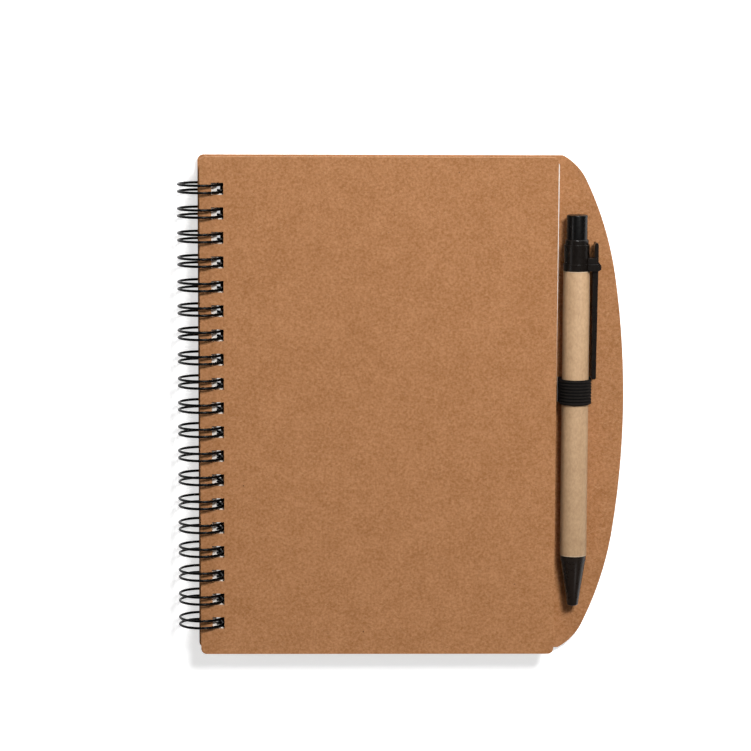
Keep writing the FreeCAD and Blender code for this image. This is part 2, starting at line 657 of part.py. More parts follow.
def pen_spring():
    """Coil spring between the step in the cone and the refill's collar."""
    body = new_body("pen_spring", x=PEN_X, z=PEN_Z)
    sketch = new_sketch(body, "spring_section")
    start = f"({SEAT} + spring_wire / 2 + press_gap)"
    length = f"({POINT_END} + point_length - {SEAT} - spring_wire - 2 * press_gap)"
    near, middle = "((spring_coil - spring_wire) / 2)", "(spring_coil / 2)"
    far = "((spring_coil + spring_wire) / 2)"
    polygon(sketch, [(near, start), (middle, f"({start} - spring_wire / 2)"), (far, start),
                     (middle, f"({start} + spring_wire / 2)")])
    coil = body.newObject("PartDesign::AdditiveHelix", "spring_coil")
    coil.Profile = sketch
    coil.ReferenceAxis = (sketch, ["V_Axis"])
    coil.Mode = 0
    bind(coil, Pitch="spring_pitch", Height=length)


def check_and_write():
    """Stop on anything unsound, and write each piece to its own file."""
    doc.recompute()
    for item in doc.Objects:
        if "Invalid" in item.State or "Error" in item.State:
            raise RuntimeError(f"{item.Label}: {item.State}")
    pieces = [item for item in doc.Objects if item.TypeId in ("PartDesign::Body", "Part::Feature")]
    for piece in pieces:
        if piece.Shape.isNull() or not piece.Shape.isValid():
            raise RuntimeError(piece.Label + ": no sound solid")
    os.makedirs("parts", exist_ok=True)
    for piece in pieces:
        piece.Shape.exportStep(f"parts/{piece.Label}.step")
        print(piece.Label, len(piece.Shape.Solids), round(piece.Shape.Volume, 2), piece.Shape.BoundBox)


front_cover()
page_block()
rear_cover()
binding_wire()
pen_loop()
pen_barrel()
pen_tip()
pen_clip_cap()
push_button()
cam_rotor()
refill_tube()
refill_point()
pen_spring()
check_and_write()
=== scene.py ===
import math

import bmesh
import bpy
from mathutils import Matrix, Vector


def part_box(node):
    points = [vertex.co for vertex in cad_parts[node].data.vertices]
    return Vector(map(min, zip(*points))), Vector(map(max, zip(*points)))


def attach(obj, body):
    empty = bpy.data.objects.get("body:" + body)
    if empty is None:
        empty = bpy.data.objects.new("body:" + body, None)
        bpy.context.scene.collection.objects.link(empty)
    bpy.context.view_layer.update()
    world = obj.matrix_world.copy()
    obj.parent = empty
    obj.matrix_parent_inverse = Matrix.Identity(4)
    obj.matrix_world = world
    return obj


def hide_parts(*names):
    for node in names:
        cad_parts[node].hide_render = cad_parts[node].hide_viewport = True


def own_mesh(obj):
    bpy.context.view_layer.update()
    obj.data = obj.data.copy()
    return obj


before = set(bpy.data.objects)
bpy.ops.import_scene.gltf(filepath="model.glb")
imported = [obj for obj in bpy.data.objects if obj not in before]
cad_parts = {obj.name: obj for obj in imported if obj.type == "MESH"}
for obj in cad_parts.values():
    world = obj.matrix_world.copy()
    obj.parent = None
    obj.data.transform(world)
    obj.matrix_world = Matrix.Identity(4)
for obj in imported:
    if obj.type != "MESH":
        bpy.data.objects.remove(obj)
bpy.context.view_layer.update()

# Covers
# Two sheets of uncoated kraft board, 1.4 mm thick, die-cut with round corners and square holes.
# The rear one is wider, ends in a bowed flap and starts a little right of the CAD's. The board
# shows mottled fibres, pale hairs and a few dark specks, and its cut edges are paler, with a
# painted highlight on them as well.
EDGE_ANGLE = math.radians(28)
FLAT_ANGLE = math.radians(0.3)
CAD_WELD = 2e-6
CARD_WELD = 1e-7
BOARD_EDGE = 0.00016
BOARD_EDGE_STEPS = 2
SOFT_STEPS = 3
COVER_CORNER = 0.002
CORNER_STEPS = 12
REAR_SHIFT = 0.0004
CROWN_RADIUS = 0.301
CROWN_DROP = 0.042
SHOULDER_RADIUS = 0.1165
SHOULDER_DROP = 0.0085
TIP_RADIUS = 0.019
FLAP_STEPS = 20
SLOT_GAP = 0.0001
SLOT_LENGTH = 0.00155
LOOPS = 19
LOOP_PITCH = 0.008467
HOLE = 0.0042
HOLE_MARGIN = 0.004


class Shader:
    """A material that is built up from nodes, one call at a time."""

    def __init__(self, name):
        self.material = bpy.data.materials.new(name)
        self.material.use_nodes = True
        self.tree = self.material.node_tree
        self.surface = self.tree.nodes["Principled BSDF"]
        self.place = self.node("ShaderNodeTexCoord").outputs["Object"]

    def node(self, kind, inputs=None, **settings):
        made = self.tree.nodes.new(kind)
        for name, setting in settings.items():
            setattr(made, name, setting)
        for name, source in (inputs or {}).items():
            self.feed(made.inputs[name], source)
        return made

    def feed(self, socket, source):
        if isinstance(source, bpy.types.NodeSocket):
            self.tree.links.new(source, socket)
        else:
            socket.default_value = source

    def finish(self, **values):
        for name, source in values.items():
            self.feed(self.surface.inputs[name.replace("_", " ")], source)

    def scaled(self, stretch, turn=0.0):
        """Object coordinates turned about Z and then multiplied, per metre."""
        turned = self.node("ShaderNodeMapping", {"Vector": self.place, "Rotation": (0.0, 0.0, turn)})
        return self.node("ShaderNodeMapping", {"Vector": turned.outputs[0], "Scale": stretch}).outputs[0]

    def grain(self, count, detail=4.0, roughness=0.5, turn=0.0):
        """Noise between 0 and 1 with a number of grains per metre, one for all ways or one for each."""
        stretch = count if isinstance(count, tuple) else (count, count, count)
        found = self.node("ShaderNodeTexNoise", {
            "Vector": self.scaled(stretch, turn), "Scale": 1.0, "Detail": detail, "Roughness": roughness})
        return found.outputs["Fac"]

    def ramp(self, source, low, high, start=0.0, end=1.0):
        """Take a number from one range to another."""
        made = self.node("ShaderNodeMapRange", {
            "Value": source, "From Min": low, "From Max": high, "To Min": start, "To Max": end})
        return made.outputs["Result"]

    def maths(self, operation, one, two=0.0):
        made = self.node("ShaderNodeMath", operation=operation)
        self.feed(made.inputs[0], one)
        self.feed(made.inputs[1], two)
        return made.outputs[0]

    def mix(self, factor, one, two):
        made = self.node("ShaderNodeMix", data_type="RGBA")
        self.feed(made.inputs["Factor"], factor)
        self.feed(made.inputs["A"], one)
        self.feed(made.inputs["B"], two)
        return made.outputs["Result"]

    def bump(self, height, depth, strength):
        made = self.node("ShaderNodeBump", {"Height": height, "Distance": depth, "Strength": strength})
        return made.outputs["Normal"]


def in_scene(name, data):
    made = bpy.data.objects.new(name, data)
    bpy.context.scene.collection.objects.link(made)
    return made


def finished(work, name, material=None):
    """Turn a working mesh into an object that sits at the origin."""
    mesh = bpy.data.meshes.new(name)
    work.to_mesh(mesh)
    work.free()
    if material:
        mesh.materials.append(material)
    return in_scene(name, mesh)


def kraft_board():
    """Recycled board: mottling, pulp grain, pale and dark fibres, dark specks and a paler cut edge with a
    painted highlight.
    """
    dark, light = (0.328, 0.137, 0.046, 1.0), (0.490, 0.231, 0.102, 1.0)
    # Cut-edge tone: the board's own paler core, made brighter still as a painted highlight.
    pale_edge_and_highlight_tone = (0.66, 0.42, 0.25, 1.0)
    face_tilt, edge_tilt = 0.97, 0.85
    speck_tone = (0.11, 0.04, 0.02, 1.0)
    hair_tone = (0.57, 0.32, 0.16, 1.0)
    bark_tone = (0.23, 0.095, 0.038, 1.0)
    mottle_share, fibre_share = 0.26, 0.4
    large_specks, small_specks = (95, 0.72, 0.034, 0.9), (240, 0.72, 0.055, 0.6)
    look = Shader("kraft_board")
    mottle = look.grain(130, detail=3.0)
    pulp = look.grain(1150, detail=3.0, roughness=0.65)
    tone = look.maths("ADD", look.maths("MULTIPLY", mottle, mottle_share), pulp)
    colour = look.mix(look.ramp(tone, 0.44, 0.82), dark, light)
    for turn, fibre_tone in ((0.4, hair_tone), (1.5, bark_tone), (2.6, hair_tone), (3.3, bark_tone)):
        fibre = look.grain((450, 2900, 900), detail=2.0, turn=turn)
        shown = look.maths("MULTIPLY", look.ramp(fibre, 0.62, 0.72), fibre_share)
        colour = look.mix(shown, colour, fibre_tone)
    for count, share, radius, strength in (large_specks, small_specks):
        cells = look.node("ShaderNodeTexVoronoi", {"Vector": look.scaled((count,) * 3), "Scale": 1.0})
        chosen = look.maths("GREATER_THAN", look.node("ShaderNodeSeparateColor", {
            "Color": cells.outputs["Color"]}).outputs["Red"], share)
        spot = look.maths("MULTIPLY", look.ramp(cells.outputs["Distance"], radius, radius / 2), chosen)
        colour = look.mix(look.maths("MULTIPLY", spot, strength), colour, speck_tone)
    # Side faces get the cut-edge tone: paler board core plus a painted highlight where the edges catch the
    # light.
    facing = look.node("ShaderNodeSeparateXYZ", {"Vector": look.node("ShaderNodeTexCoord").outputs["Normal"]})
    side = look.ramp(look.maths("ABSOLUTE", facing.outputs["Z"]), face_tilt, edge_tilt)
    plies = look.grain((500, 500, 9000), detail=2.0)
    edge = look.mix(look.ramp(plies, 0.35, 0.65), light, pale_edge_and_highlight_tone)
    colour = look.mix(side, colour, edge)
    height = look.maths("ADD", look.grain(1800, detail=3.0), look.maths("MULTIPLY", mottle, 0.5))
    look.finish(Base_Color=colour, Roughness=0.82, Specular_IOR_Level=0.25,
                Normal=look.bump(height, depth=0.00006, strength=0.55))
    return look.material


def round_edges(made, width, steps, smooth=True):
    bevel = made.modifiers.new("edges", "BEVEL")
    bevel.width = width
    bevel.segments = steps
    bevel.limit_method = "ANGLE"
    bevel.angle_limit = EDGE_ANGLE
    bevel.harden_normals = smooth


def softened(node, name, material, body, width):
    """A copy of a CAD piece with its sharp edges rounded and its curved faces shaded smooth."""
    work = bmesh.new()
    work.from_mesh(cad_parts[node].data)
    bmesh.ops.remove_doubles(work, verts=work.verts, dist=CAD_WELD)
    bmesh.ops.dissolve_limit(work, angle_limit=FLAT_ANGLE, verts=work.verts, edges=work.edges)
    for face in work.faces:
        face.smooth = True
    made = finished(work, name, material)
    round_edges(made, width, SOFT_STEPS)
    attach(made, body)
    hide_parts(node)


def arc(x, y, radius, start, stop, steps=CORNER_STEPS):
    """Points of an arc round a centre, from one angle to another in degrees."""
    turns = [math.radians(start + (stop - start) * i / steps) for i in range(steps + 1)]
    return [(x + radius * math.cos(turn), y + radius * math.sin(turn)) for turn in turns]


def oblong(x0, y0, x1, y1, r):
    """A rectangle with round corners."""
    return (arc(x1 - r, y1 - r, r, 0, 90) + arc(x0 + r, y1 - r, r, 90, 180)
            + arc(x0 + r, y0 + r, r, 180, 270) + arc(x1 - r, y0 + r, r, 270, 360))


def flap_outline(x0, x1, half):
    """Rear cover: round corners at the binding, and a bowed flap of five arcs that run into each other."""
    crown_x, crown_y = x1 - CROWN_RADIUS, half - CROWN_DROP
    a = math.asin(crown_y / CROWN_RADIUS)
    mid_x = crown_x + (CROWN_RADIUS - SHOULDER_RADIUS) * math.cos(a)
    mid_y = (CROWN_RADIUS - SHOULDER_RADIUS) * math.sin(a)
    b = math.asin((half - SHOULDER_DROP - mid_y) / SHOULDER_RADIUS)
    end_x = mid_x + (SHOULDER_RADIUS - TIP_RADIUS) * math.cos(b)
    end_y = mid_y + (SHOULDER_RADIUS - TIP_RADIUS) * math.sin(b)
    c = math.asin((half - end_y) / TIP_RADIUS)
    a, b, c = (math.degrees(turn) for turn in (a, b, c))
    upper = (arc(crown_x, 0.0, CROWN_RADIUS, 0, a, FLAP_STEPS)[1:]
             + arc(mid_x, mid_y, SHOULDER_RADIUS, a, b, FLAP_STEPS)[1:]
             + arc(end_x, end_y, TIP_RADIUS, b, c)[1:])
    lower = [(x, -y) for x, y in reversed(upper)]
    r = COVER_CORNER
    return (lower + [(x1, 0.0)] + upper
            + arc(x0 + r, half - r, r, 90, 180) + arc(x0 + r, r - half, r, 180, 270))


def punched_row(left):
    """The square holes along a binding edge."""
    x0, x1 = left + HOLE_MARGIN, left + HOLE_MARGIN + HOLE
    rows = [(index - (LOOPS - 1) / 2) * LOOP_PITCH for index in range(LOOPS)]
    return [[(x0, y - HOLE / 2), (x0, y + HOLE / 2), (x1, y + HOLE / 2), (x1, y - HOLE / 2)] for y in rows]


def slot_pair(low, high):
    """The two slots of the flap that the elastic comes up through."""
    y0, y1 = low.y - SLOT_GAP, high.y + SLOT_GAP
    left, right = low.x - SLOT_GAP, high.x + SLOT_GAP - SLOT_LENGTH
    return [[(x, y0), (x, y1), (x + SLOT_LENGTH, y1), (x + SLOT_LENGTH, y0)] for x in (left, right)]


def flat_card(outline, holes, z):
    """A flat face inside an outline and round its holes, at a height, ready to be thickened."""
    data = bpy.data.curves.new("card", "CURVE")
    data.dimensions = "2D"
    data.fill_mode = "BOTH"
    for ring in [outline] + holes:
        spline = data.splines.new("POLY")
        spline.points.add(len(ring) - 1)
        for point, (x, y) in zip(spline.points, ring):
            point.co = (x, y, 0.0, 1.0)
        spline.use_cyclic_u = True
    flat = in_scene("card", data)
    depsgraph = bpy.context.evaluated_depsgraph_get()
    mesh = bpy.data.meshes.new_from_object(flat.evaluated_get(depsgraph), depsgraph=depsgraph)
    bpy.data.objects.remove(flat)
    work = bmesh.new()
    work.from_mesh(mesh)
    bmesh.ops.remove_doubles(work, verts=work.verts, dist=CARD_WELD)
    for face in work.faces:
        if face.normal.z < 0:
            face.normal_flip()
    bmesh.ops.translate(work, vec=(0.0, 0.0, z), verts=work.verts)
    return work


def board(node, name, body, outline, holes, low, high):
    """Die-cut board in place of a CAD cover, its cut edges a little rounded."""
    work = flat_card(outline, holes, low.z)
    raised = bmesh.ops.extrude_face_region(work, geom=work.faces[:])["geom"]
    lifted = [item for item in raised if isinstance(item, bmesh.types.BMVert)]
    bmesh.ops.translate(work, vec=(0.0, 0.0, high.z - low.z), verts=lifted)
    bmesh.ops.recalc_face_normals(work, faces=work.faces)
    made = finished(work, name, kraft)
    round_edges(made, BOARD_EDGE, BOARD_EDGE_STEPS, smooth=False)
    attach(made, body)
    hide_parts(node)


kraft = kraft_board()
rear_low, rear_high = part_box("rear_cover")
front_low, front_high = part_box("front_cover")
band_low, band_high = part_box("pen_loop")
board("rear_cover", "rear_board", "back",
      flap_outline(rear_low.x + REAR_SHIFT, rear_high.x, rear_high.y),
      punched_row(rear_low.x) + slot_pair(band_low, band_high), rear_low, rear_high)
board("front_cover", "front_board", "front",
      oblong(front_low.x, front_low.y, front_high.x, front_high.y, COVER_CORNER),
      punched_row(front_low.x), front_low, front_high)

# Pages
# Ninety loose sheets of white writing paper, punched with the same square holes. They lie on each
# other a little unevenly, lean to the right, as a block does that lies on its back, and the pile
# is turned a little between the covers.
SHEETS = 90
SHEET_SHARE = 0.8
SHEET_CORNER = 0.002
SHEET_LEAN = 0.0012
SHEET_SHIFT = 0.00005
SHEET_SHORT = 0.0008
SHEET_INSET = 0.0003
SHEET_WELD = 1e-6
SHEET_SEED = 7
PILE_TURN = math.radians(-0.25)
PILE_SHIFT = -0.00025


def writing_paper():
    """Uncoated white paper, faintly cloudy."""
    dark, light = (0.74, 0.72, 0.68, 1.0), (0.82, 0.80, 0.76, 1.0)
    look = Shader("writing_paper")
    cloud = look.grain(400, detail=5.0)
    colour = look.mix(look.ramp(cloud, 0.3, 0.7), dark, light)
    look.finish(Base_Color=colour, Roughness=0.9, Specular_IOR_Level=0.2,
                Normal=look.bump(look.grain(3000, detail=2.0), depth=0.00002, strength=0.4))
    return look.material


def new_tree(name, sizes):
    """Start a geometry tree with a mesh or curve in, a mesh out and one named input for each size."""
    tree = bpy.data.node_groups.new(name, "GeometryNodeTree")
    tree.interface.new_socket("Geometry", in_out="INPUT", socket_type="NodeSocketGeometry")
    for size, kind in sizes.items():
        tree.interface.new_socket(size, in_out="INPUT", socket_type="NodeSocket" + kind)
    tree.interface.new_socket("Geometry", in_out="OUTPUT", socket_type="NodeSocketGeometry")
    return tree, tree.nodes.new("NodeGroupInput"), tree.nodes.new("NodeGroupOutput")


def grow(source, tree, name, **sizes):
    """Run a tree on an object and keep what it makes as a plain mesh of that name."""
    modifier = source.modifiers.new("shape", "NODES")
    modifier.node_group = tree
    for item in tree.interface.items_tree:
        if item.in_out == "INPUT" and item.name in sizes:
            modifier[item.identifier] = sizes[item.name]
    depsgraph = bpy.context.evaluated_depsgraph_get()
    mesh = bpy.data.meshes.new_from_object(source.evaluated_get(depsgraph), depsgraph=depsgraph)
    bpy.data.objects.remove(source)
    return in_scene(name, mesh)


def page_tree(material):
    """Pile copies of one sheet, each shifted a little, and lean the pile."""
    tree, given, result = new_tree("page_pile", {
        "Sheets": "Int", "Step": "Vector", "Shift": "Vector", "Thickness": "Float"})
    nodes, link = tree.nodes, tree.links.new
    thicken = nodes.new("GeometryNodeExtrudeMesh")
    thicken.inputs["Individual"].default_value = False
    link(given.outputs["Geometry"], thicken.inputs["Mesh"])
    link(given.outputs["Thickness"], thicken.inputs["Offset Scale"])
    flip = nodes.new("GeometryNodeFlipFaces")
    link(given.outputs["Geometry"], flip.inputs["Mesh"])
    close = nodes.new("GeometryNodeJoinGeometry")
    link(thicken.outputs["Mesh"], close.inputs[0])
    link(flip.outputs["Mesh"], close.inputs[0])
    weld = nodes.new("GeometryNodeMergeByDistance")
    weld.inputs["Distance"].default_value = SHEET_WELD
    link(close.outputs[0], weld.inputs["Geometry"])
    line = nodes.new("GeometryNodeMeshLine")
    link(given.outputs["Sheets"], line.inputs["Count"])
    link(given.outputs["Step"], line.inputs["Offset"])
    pile = nodes.new("GeometryNodeInstanceOnPoints")
    link(line.outputs["Mesh"], pile.inputs["Points"])
    link(weld.outputs["Geometry"], pile.inputs["Instance"])
    minus = nodes.new("ShaderNodeVectorMath")
    minus.operation = "SCALE"
    minus.inputs["Scale"].default_value = -1.0
    link(given.outputs["Shift"], minus.inputs[0])
    chance = nodes.new("FunctionNodeRandomValue")
    chance.data_type = "FLOAT_VECTOR"
    chance.inputs["Seed"].default_value = SHEET_SEED
    link(minus.outputs["Vector"], chance.inputs["Min"])
    link(given.outputs["Shift"], chance.inputs["Max"])
    move = nodes.new("GeometryNodeTranslateInstances")
    link(pile.outputs["Instances"], move.inputs["Instances"])
    link(chance.outputs["Value"], move.inputs["Translation"])
    real = nodes.new("GeometryNodeRealizeInstances")
    link(move.outputs["Instances"], real.inputs["Geometry"])
    paint = nodes.new("GeometryNodeSetMaterial")
    paint.inputs["Material"].default_value = material
    link(real.outputs["Geometry"], paint.inputs["Geometry"])
    link(paint.outputs["Geometry"], result.inputs["Geometry"])
    return tree


def flat_sheet(low, high):
    """The lowest sheet as a flat mesh at its own height."""
    outline = oblong(low.x + SHEET_INSET, low.y + SHEET_INSET, high.x - SHEET_LEAN, high.y - SHEET_SHORT,
                     SHEET_CORNER)
    return finished(flat_card(outline, punched_row(low.x), low.z), "flat_sheet")


page_low, page_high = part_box("page_block")
page_step = (page_high.z - page_low.z) / SHEETS
pages = grow(flat_sheet(page_low, page_high), page_tree(writing_paper()), "pages",
             Sheets=SHEETS, Step=(SHEET_LEAN / SHEETS, 0.0, page_step),
             Shift=(SHEET_SHIFT, SHEET_SHIFT, 0.0), Thickness=page_step * SHEET_SHARE)
turned = Matrix.Rotation(PILE_TURN, 4, "Z")
pages.data.transform(Matrix.Translation((PILE_SHIFT, 0.0, 0.0)) @ turned)
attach(pages, "back")
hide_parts("page_block")

# Binding wire
# One steel wire with a glossy black coating. It runs along a straight spine below the rear cover,
# goes up round each twin loop and back, and its round tips lie beside the spine.
RING_RADIUS = 0.00765
WIRE = 0.0009
WIRE_SIDES = 12
WIRE_GAP = 0.0025
WIRE_BEND = 0.0012
TIP_TURN = 27.3
RING_STEPS = 44
BEND_STEPS = 6
TIP_STEPS = 14


def wire_black():
    """Glossy black coating, a little worn."""
    coated, worn_tone = (0.0015, 0.0015, 0.0017, 1.0), (0.004, 0.0038, 0.0037, 1.0)
    look = Shader("black_coating")
    worn = look.grain(1500, detail=3.0)
    colour = look.mix(look.ramp(worn, 0.3, 0.75), coated, worn_tone)
    look.finish(Base_Color=colour, Roughness=look.ramp(worn, 0.2, 0.8, 0.22, 0.32), Specular_IOR_Level=0.1)
    return look.material


def wire_path(axis_x, axis_z):
    """Points of the whole wire, from its upper cut end to its lower one."""
    lag = math.degrees(math.atan2(WIRE_BEND, RING_RADIUS))
    start, stop = 270.0 - lag, TIP_TURN - 90.0
    run = LOOP_PITCH - WIRE_GAP - 2 * WIRE_BEND
    top = LOOP_PITCH * (LOOPS - 1) / 2 + WIRE_GAP / 2 + WIRE_BEND

    def out(angle):
        return Vector((math.cos(math.radians(angle)), 0.0, math.sin(math.radians(angle))))

    def along(angle):
        return Vector((-math.sin(math.radians(angle)), 0.0, math.cos(math.radians(angle))))

    def turn(centre, first, second, sweep, steps):
        """Arc from centre + first towards centre + second."""
        return [centre + first * math.cos(sweep * i / steps) + second * math.sin(sweep * i / steps)
                for i in range(1, steps + 1)]

    centre = Vector((axis_x, 0.0, axis_z))
    y_axis = Vector((0.0, 1.0, 0.0))
    quarter = math.pi / 2
    foot = centre + out(start) * RING_RADIUS
    spine = foot + along(start) * WIRE_BEND
    points = [spine + y_axis * (top + run / 2), spine + y_axis * top]
    for index in range(LOOPS):
        upper = top - WIRE_BEND - index * LOOP_PITCH
        lower = upper - WIRE_GAP
        bend = foot + y_axis * (upper + WIRE_BEND)
        points += turn(bend, along(start) * WIRE_BEND, y_axis * -WIRE_BEND, quarter, BEND_STEPS)
        angles = [start + (stop - start) * i / RING_STEPS for i in range(1, RING_STEPS + 1)]
        points += [centre + out(a) * RING_RADIUS + y_axis * upper for a in angles]
        tip = centre + out(stop) * RING_RADIUS + y_axis * (upper + lower) / 2
        half = WIRE_GAP / 2
        points += turn(tip, y_axis * half, along(stop) * -half, math.pi, TIP_STEPS)
        points += [centre + out(a) * RING_RADIUS + y_axis * lower for a in reversed(angles[:-1])]
        points.append(foot + y_axis * lower)
        bend = foot + y_axis * (lower - WIRE_BEND)
        points += turn(bend, y_axis * WIRE_BEND, along(start) * WIRE_BEND, quarter, BEND_STEPS)
        rest = run if index < LOOPS - 1 else run / 2
        points.append(points[-1] - y_axis * rest)
    return points


def wire_tree(material):
    """Sweep a round section along the path and close its two cut ends."""
    tree, given, result = new_tree("wire_sweep", {"Radius": "Float", "Sides": "Int"})
    nodes, link = tree.nodes, tree.links.new
    section = nodes.new("GeometryNodeCurvePrimitiveCircle")
    link(given.outputs["Radius"], section.inputs["Radius"])
    link(given.outputs["Sides"], section.inputs["Resolution"])
    sweep = nodes.new("GeometryNodeCurveToMesh")
    sweep.inputs["Fill Caps"].default_value = True
    link(given.outputs["Geometry"], sweep.inputs["Curve"])
    link(section.outputs["Curve"], sweep.inputs["Profile Curve"])
    smooth = nodes.new("GeometryNodeSetShadeSmooth")
    link(sweep.outputs["Mesh"], smooth.inputs["Geometry"])
    real = nodes.new("GeometryNodeRealizeInstances")
    link(smooth.outputs["Geometry"], real.inputs["Geometry"])
    paint = nodes.new("GeometryNodeSetMaterial")
    paint.inputs["Material"].default_value = material
    link(real.outputs["Geometry"], paint.inputs["Geometry"])
    link(paint.outputs["Geometry"], result.inputs["Geometry"])
    return tree


def open_curve(name, points):
    data = bpy.data.curves.new(name, "CURVE")
    data.dimensions = "3D"
    spline = data.splines.new("POLY")
    spline.points.add(len(points) - 1)
    for place, point in zip(spline.points, points):
        place.co = (*point, 1.0)
    return in_scene(name, data)


wire_low, wire_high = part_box("binding_wire")
ring_x = wire_low.x + RING_RADIUS + WIRE / 2
ring_z = wire_high.z - RING_RADIUS - WIRE / 2
wire = grow(open_curve("wire_route", wire_path(ring_x, ring_z)), wire_tree(wire_black()),
            "twin_loop_wire", Radius=WIRE / 2, Sides=WIRE_SIDES)
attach(wire, "back")
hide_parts("binding_wire")

# Elastic pen loop
# A black ribbed elastic, 8.8 mm wide. It goes up through two slots of the flap and round the pen,
# and its ends are joined below the cover. Eight cords give it its ribs.
RIBS = 8
RIB_STEPS = 6
RIB_DEPTH = 0.0003
RIB_ROUND = 0.7
BAND_CORNER = 0.0005
BAND_THICKNESS = 0.00095
BAND_BEND_STEPS = 48
BAND_CORNER_STEPS = 8
BAND_EDGE = 0.00015
BAND_EDGE_RISE = 0.00012
FREE_RISE = 0.0009
SLOT_RISE = 0.0002


def band_black(width):
    """Black yarn: fine threads along the band, with painted shade in the grooves and a painted highlight on
    the ribs.
    """
    # Painted shade in the grooves and a painted highlight on the rib crests, over the yarn's own fine
    # threads.
    groove_painted_shade_tone, rib_painted_highlight_tone = (0.0015, 0.0012, 0.0011, 1.0), (0.019, 0.0155, 0.0135, 1.0)
    yarn_count = (900.0, 7000.0, 1.0)
    look = Shader("ribbed_elastic")
    uv = look.node("ShaderNodeUVMap", uv_map="band").outputs["UV"]
    stretched = look.node("ShaderNodeMapping", {"Vector": uv, "Scale": yarn_count}).outputs[0]
    yarn = look.node("ShaderNodeTexNoise", {"Vector": stretched, "Scale": 1.0, "Detail": 3.0}).outputs["Fac"]
    across = look.node("ShaderNodeSeparateXYZ", {"Vector": uv}).outputs["Y"]
    phase = look.maths("MULTIPLY", look.maths("ADD", across, width / 2), math.pi * RIBS / width)
    rib_light_mask = look.maths("ABSOLUTE", look.maths("SINE", phase))
    tone = look.maths("MULTIPLY", look.ramp(rib_light_mask, 0.25, 0.95), look.ramp(yarn, 0.25, 0.65))
    colour = look.mix(tone, groove_painted_shade_tone, rib_painted_highlight_tone)
    look.finish(Base_Color=colour, Roughness=0.85, Specular_IOR_Level=0.12,
                Normal=look.bump(yarn, depth=0.00008, strength=0.7))
    return look.material


def band_route(low, high, inner, flap_top):
    """Closed route of the band's inner face: place, outward direction, and how far its ribs stand out."""
    middle = (low.x + high.x) / 2
    centre_z = high.z - inner - BAND_THICKNESS
    floor = low.z + BAND_THICKNESS
    route = []
    for i in range(BAND_BEND_STEPS + 1):
        angle = math.pi * i / BAND_BEND_STEPS
        way = Vector((math.cos(angle), 0.0, math.sin(angle)))
        route.append((Vector((middle, 0.0, centre_z)) + way * inner, way, 1.0))
    left, right = Vector((-1.0, 0.0, 0.0)), Vector((1.0, 0.0, 0.0))
    for rise, stands in ((FREE_RISE, 1.0), (SLOT_RISE, 0.0)):
        route.append((Vector((middle - inner, 0.0, flap_top + rise)), left, stands))
    for side, first in ((-1, 180), (1, 270)):
        corner = Vector((middle + side * (inner - BAND_CORNER), 0.0, floor + BAND_CORNER))
        for i in range(BAND_CORNER_STEPS + 1):
            angle = math.radians(first + 90 * i / BAND_CORNER_STEPS)
            way = Vector((math.cos(angle), 0.0, math.sin(angle)))
            route.append((corner + way * BAND_CORNER, way, 0.0))
    for rise, stands in ((SLOT_RISE, 0.0), (FREE_RISE, 1.0)):
        route.append((Vector((middle + inner, 0.0, flap_top + rise)), right, stands))
    return route


def band_section(width):
    """Outline across the band, ribbed outside and flat inside: width, height and depth below the ribs."""
    outer = []
    count = RIBS * RIB_STEPS
    for i in range(count + 1):
        wave = abs(math.sin(math.pi * i / RIB_STEPS))
        y = -width / 2 + width * i / count
        outer.append((y, BAND_THICKNESS, RIB_DEPTH * (1.0 - wave ** RIB_ROUND)))
    edge = width / 2
    flat = edge - BAND_EDGE
    inner = [(edge, BAND_EDGE_RISE), (flat, 0.0), (-flat, 0.0), (-edge, BAND_EDGE_RISE)]
    return [(y, up, 0.0) for y, up in inner] + outer


def elastic_band():
    low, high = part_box("pen_loop")
    inner = (high.x - low.x) / 2 - BAND_THICKNESS
    middle_y = (low.y + high.y) / 2
    route = band_route(low, high, inner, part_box("rear_cover")[1].z)
    section = band_section(high.y - low.y)
    work = bmesh.new()
    marks = work.loops.layers.uv.new("band")
    rows, lengths = [], [0.0]
    for index, (place, way, stands) in enumerate(route):
        rows.append([work.verts.new(place + way * (up - dip * stands) + Vector((0.0, middle_y + y, 0.0)))
                     for y, up, dip in section])
        lengths.append(lengths[-1] + (route[(index + 1) % len(route)][0] - place).length)
    for i, row in enumerate(rows):
        after = rows[(i + 1) % len(rows)]
        for j in range(len(section)):
            k = (j + 1) % len(section)
            face = work.faces.new((row[j], row[k], after[k], after[j]))
            face.smooth = True
            spots = ((i, j), (i, k), (i + 1, k), (i + 1, j))
            for loop, (a, b) in zip(face.loops, spots):
                loop[marks].uv = (lengths[a], section[b][0])
    bmesh.ops.recalc_face_normals(work, faces=work.faces)
    return finished(work, "elastic_loop", band_black(high.y - low.y))


elastic = elastic_band()
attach(elastic, "back")
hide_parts("pen_loop")

# Paper barrel
# A tube of wound kraft paper, paler and smoother than the board, with the faint slanting seams
# of its strips. Its cut ends meet the plastic cone and cap.
BARREL_EDGE = 0.00012
SEAMS_PER_METRE = 55.0
CUT_START = 0.0004
CUT_FULL = 0.00015


